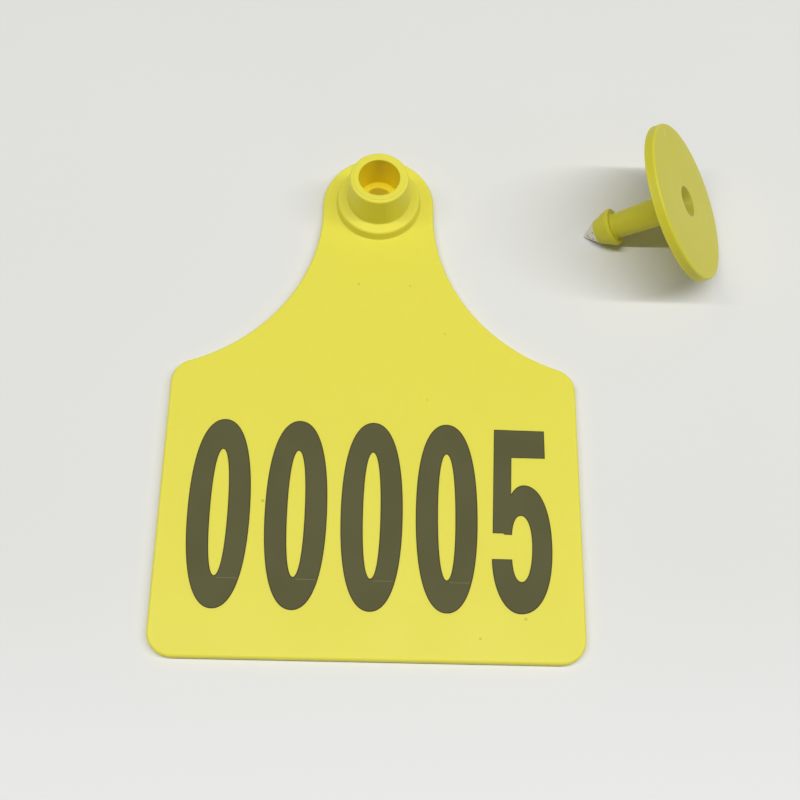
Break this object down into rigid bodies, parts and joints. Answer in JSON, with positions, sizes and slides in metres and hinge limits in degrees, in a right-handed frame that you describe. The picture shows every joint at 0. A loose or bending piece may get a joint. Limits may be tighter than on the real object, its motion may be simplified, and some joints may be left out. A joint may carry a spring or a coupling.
{
  "type": "livestock ear tag",
  "caption": "Livestock ear tag: flat number panel with a conical locking collar, and a loose button stud with a barbed, metal-tipped head.",
  "frame": {"origin": "on the axis of the collar and stem hole, at the back face of the panel", "axes": "+Z out of the collar's mouth, away from the surface the panel lies on; -Y down the panel, from the collar to the bottom edge; +X to the right of the panel, towards the loose stud"},
  "size_m": [0.105, 0.1006, 0.0253],
  "materials": {
    "yellow_tpu": "satin moulded TPU",
    "tip_metal": "dull, slightly tarnished metal"
  },
  "bodies": {
    "root": {"tag_panel": "yellow_tpu", "button_stud": "yellow_tpu", "metal_tip": "tip_metal"}
  },
  "joints": []
}
